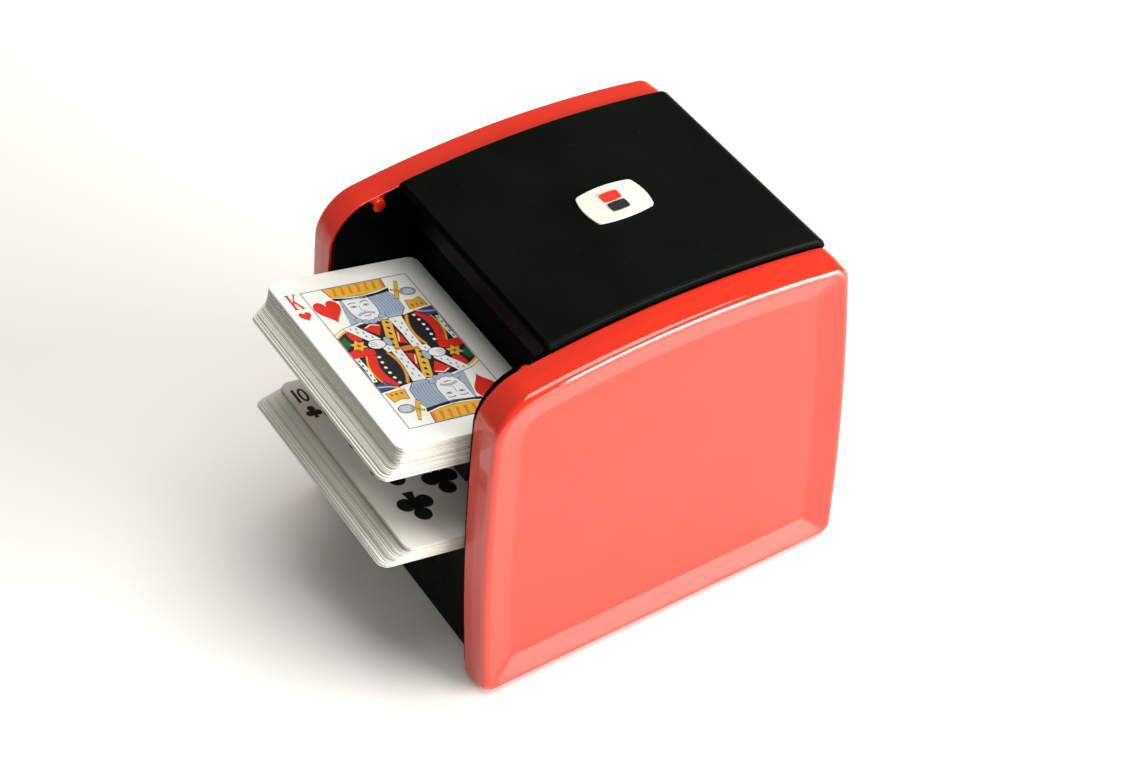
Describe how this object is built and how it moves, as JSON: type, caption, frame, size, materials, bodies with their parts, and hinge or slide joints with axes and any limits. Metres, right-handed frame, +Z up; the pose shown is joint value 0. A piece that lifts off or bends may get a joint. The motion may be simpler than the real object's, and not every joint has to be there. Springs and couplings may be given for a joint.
{
  "type": "automatic card shuffler",
  "caption": "Tabletop card shuffler with bowed glossy side shells, two sloping front card trays with driven feed rollers, and a collecting chamber under a hinged arched lid.",
  "frame": {"origin": "under the middle of the whole object's footprint, on the table", "axes": "-Y is the side where the cards go in, +X is right seen from there, +Z is up"},
  "size_m": [0.1186, 0.175, 0.1419],
  "materials": {
    "shell_red": "gloss",
    "body_black": "gloss",
    "badge_white": "satin",
    "mark_red": "satin",
    "mark_black": "satin",
    "steel": "satin",
    "brass": "satin",
    "rubber": "matte",
    "nylon": "matte",
    "switch_black": "matte",
    "cell_sleeve": "satin",
    "cards": "coated"
  },
  "bodies": {
    "housing": {"side_shell_right": "shell_red", "side_shell_left": "shell_red", "frame_wall_right": "body_black", "frame_wall_left": "body_black", "lid_hinge_pin_right": "steel", "lid_hinge_pin_left": "steel", "upper_tray": "body_black", "lower_tray": "body_black", "upper_gate": "body_black", "lower_gate": "body_black", "upper_shaft_bush_right": "brass", "upper_shaft_bush_left": "brass", "lower_shaft_bush_right": "brass", "lower_shaft_bush_left": "brass", "idler_stud": "steel", "reduction_stud": "steel", "motor_can": "steel", "motor_bracket": "body_black", "base_pan": "body_black", "foot_1": "rubber", "foot_2": "rubber", "foot_3": "rubber", "foot_4": "rubber", "rear_panel": "body_black", "start_switch": "switch_black", "collector_tray": "body_black", "battery_box": "body_black", "battery_left": "cell_sleeve", "battery_right": "cell_sleeve", "contact_bridge": "steel", "contact_left": "steel", "contact_right": "steel", "spring_left": "steel", "spring_right": "steel", "shell_screw_right_1": "steel", "shell_screw_right_2": "steel", "shell_screw_right_3": "steel", "shell_screw_left_1": "steel", "shell_screw_left_2": "steel", "shell_screw_left_3": "steel"},
    "lid": {"lid": "body_black", "badge_plate": "badge_white", "badge_mark_red": "mark_red", "badge_mark_black": "mark_black"},
    "upper_roller": {"upper_feed_shaft": "steel", "upper_feed_tyre_right": "rubber", "upper_feed_tyre_left": "rubber", "upper_roller_gear": "nylon"},
    "lower_roller": {"lower_feed_shaft": "steel", "lower_feed_tyre_right": "rubber", "lower_feed_tyre_left": "rubber", "lower_roller_gear": "nylon"},
    "idler": {"idler_gear": "nylon"},
    "reduction": {"reduction_gear": "nylon"},
    "motor_rotor": {"motor_shaft": "steel", "motor_pinion": "brass"},
    "door": {"battery_door": "body_black"},
    "button": {"start_button": "shell_red"},
    "upper_pack": {"upper_deck": "cards"},
    "lower_pack": {"lower_deck": "cards"}
  },
  "joints": [
    {"name": "lid_hinge", "type": "hinge", "parent": "housing", "child": "lid", "pos_m": [0, 0.07472, 0.122], "axis": [-1, 0, 0], "range_deg": [0, 90]},
    {"name": "lower_roller_spin", "type": "hinge", "parent": "housing", "child": "lower_roller", "pos_m": [0, -0.04092, 0.04841], "axis": [-1, 0, 0], "continuous": true},
    {"name": "upper_roller_spin", "type": "hinge", "parent": "housing", "child": "upper_roller", "pos_m": [0, -0.0381, 0.08728], "axis": [-1, 0, 0], "continuous": true},
    {"name": "idler_spin", "type": "hinge", "parent": "housing", "child": "idler", "pos_m": [0, -0.035, 0.06752], "axis": [-1, 0, 0], "continuous": true},
    {"name": "reduction_spin", "type": "hinge", "parent": "housing", "child": "reduction", "pos_m": [0, -0.02617, 0.03809], "axis": [-1, 0, 0], "continuous": true},
    {"name": "motor_spin", "type": "hinge", "parent": "housing", "child": "motor_rotor", "pos_m": [0, -0.03767, 0.01817], "axis": [-1, 0, 0], "continuous": true},
    {"name": "battery_door_slide", "type": "slide", "parent": "housing", "child": "door", "axis": [0, 1, 0], "range_m": [0, 0.058]},
    {"name": "start_button_press", "type": "slide", "parent": "housing", "child": "button", "axis": [0, -1, 0], "range_m": [0, 0.0015], "stiffness_N_per_m": 400, "springref_m": -0.002},
    {"name": "upper_deck_pull", "type": "slide", "parent": "housing", "child": "upper_pack", "axis": [0, -0.9744, 0.225], "range_m": [0, 0.06]},
    {"name": "lower_deck_pull", "type": "slide", "parent": "housing", "child": "lower_pack", "axis": [0, -0.9744, 0.225], "range_m": [0, 0.06]}
  ],
  "couplings": [
    {"joint": "upper_roller_spin", "follows": "lower_roller_spin", "ratio": 1},
    {"joint": "idler_spin", "follows": "lower_roller_spin", "ratio": -1.5},
    {"joint": "reduction_spin", "follows": "lower_roller_spin", "ratio": -2},
    {"joint": "motor_spin", "follows": "lower_roller_spin", "ratio": 7.2}
  ]
}
